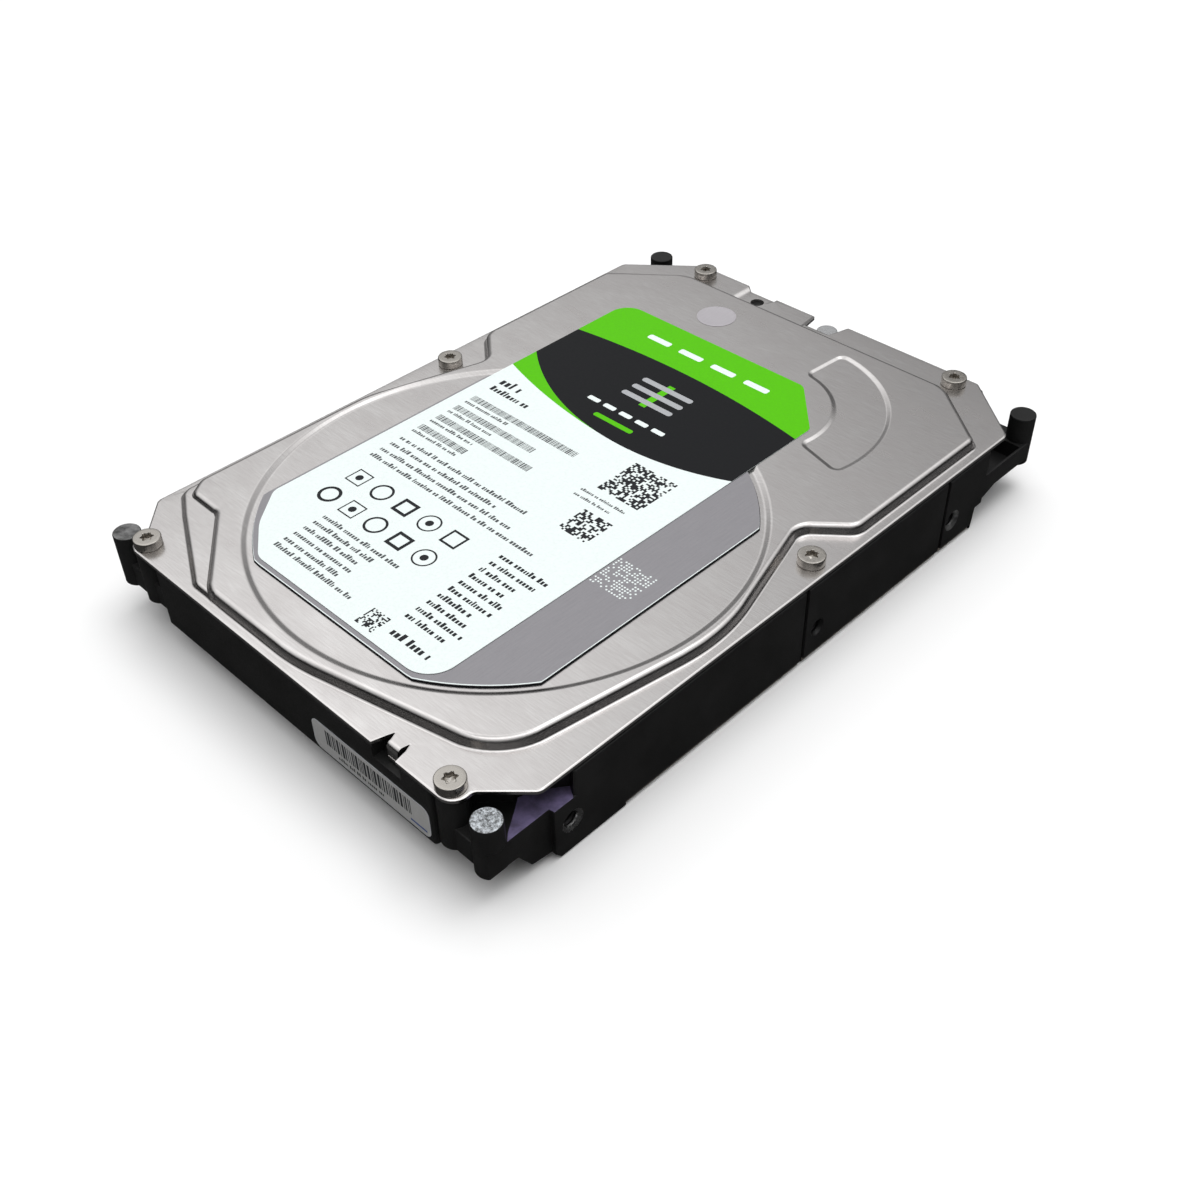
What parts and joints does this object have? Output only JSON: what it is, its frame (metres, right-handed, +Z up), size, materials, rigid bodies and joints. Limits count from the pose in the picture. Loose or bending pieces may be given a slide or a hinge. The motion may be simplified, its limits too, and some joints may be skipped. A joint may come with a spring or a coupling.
{
  "type": "hard disk drive",
  "caption": "Low-profile 3.5-inch hard disk drive: black cast tub with side rails, stamped steel cover, label, circuit board, spinning discs and a swinging head actuator.",
  "frame": {"origin": "middle of the footprint, on the plane of the side rails' bottoms", "axes": "+Y towards the connector end, +X towards the side that the connector is nearer to, +Z up through the label"},
  "size_m": [0.1016, 0.147, 0.0202],
  "materials": {
    "black_casting": "cast aluminium with black electrocoat, satin, fine cast grain",
    "satin_steel": "stamped steel with a soft satin grain",
    "screw_steel": "nickel-plated, slightly warm",
    "grey_foil": "matt grey coated foil",
    "label_print": "satin printed paper, white with green and black bands",
    "seal_foil": "dull adhesive foil",
    "gasket_rubber": "matt black elastomer",
    "board_mask": "dark green solder mask over glass fibre",
    "black_plastic": "moulded, matt",
    "pale_plastic": "moulded, natural",
    "foam": "dark open foam",
    "chip_epoxy": "moulded epoxy",
    "disc_media": "polished",
    "machined_aluminium": "machined",
    "nickel": "nickel plated",
    "magnet": "plated sintered magnet",
    "copper_winding": "enamelled copper wire",
    "flex_polyimide": "amber film",
    "filter_media": "white felt"
  },
  "bodies": {
    "housing": {"base_casting": "black_casting", "top_cover": "satin_steel", "cover_gasket": "gasket_rubber", "cover_screw_1": "screw_steel", "cover_screw_2": "screw_steel", "cover_screw_3": "screw_steel", "cover_screw_4": "screw_steel", "cover_screw_5": "screw_steel", "cover_screw_6": "screw_steel", "top_label": "label_print", "cover_foil": "grey_foil", "bar_label": "label_print", "port_seal": "seal_foil", "circuit_board": "board_mask", "board_foam": "foam", "board_screw_1": "screw_steel", "board_screw_2": "screw_steel", "board_screw_3": "screw_steel", "board_screw_4": "screw_steel", "plug_connector": "black_plastic", "jumper_block": "black_plastic", "controller_chip": "chip_epoxy", "memory_chip": "chip_epoxy", "motor_driver_chip": "chip_epoxy", "spindle_shaft": "nickel", "stator": "copper_winding", "pivot_shaft": "nickel", "lower_yoke": "nickel", "upper_yoke": "nickel", "lower_magnet": "magnet", "upper_magnet": "magnet", "yoke_screw_1": "screw_steel", "yoke_screw_2": "screw_steel", "crash_stop_1": "gasket_rubber", "crash_stop_2": "gasket_rubber", "load_ramp": "pale_plastic", "ramp_screw": "screw_steel", "latch_pin": "nickel", "flex_cable": "flex_polyimide", "flex_bracket": "black_plastic", "recirculation_filter": "filter_media", "breather_filter": "filter_media"},
    "spindle_rotor": {"spindle_hub": "machined_aluminium", "rotor_magnet": "magnet", "disc_lower": "disc_media", "disc_spacer": "machined_aluminium", "disc_upper": "disc_media", "disc_clamp": "satin_steel", "clamp_screw_1": "screw_steel", "clamp_screw_2": "screw_steel", "clamp_screw_3": "screw_steel"},
    "head_actuator": {"bearing_cartridge": "nickel", "actuator_arm": "machined_aluminium", "voice_coil": "copper_winding", "head_suspension_1": "satin_steel", "head_suspension_2": "satin_steel", "head_suspension_3": "satin_steel", "head_suspension_4": "satin_steel"},
    "latch": {"actuator_latch": "black_plastic"}
  },
  "joints": [
    {"name": "spindle_spin", "type": "hinge", "parent": "housing", "child": "spindle_rotor", "pos_m": [0, -0.0222, 0.012], "axis": [0, 0, 1], "continuous": true},
    {"name": "actuator_swing", "type": "hinge", "parent": "housing", "child": "head_actuator", "pos_m": [0.01, 0.0335, 0.012], "axis": [0, 0, 1], "range_deg": [0, 34]},
    {"name": "latch_swing", "type": "hinge", "parent": "housing", "child": "latch", "pos_m": [0.0395, 0.021, 0.0115], "axis": [0, 0, 1], "range_deg": [0, 12]}
  ]
}
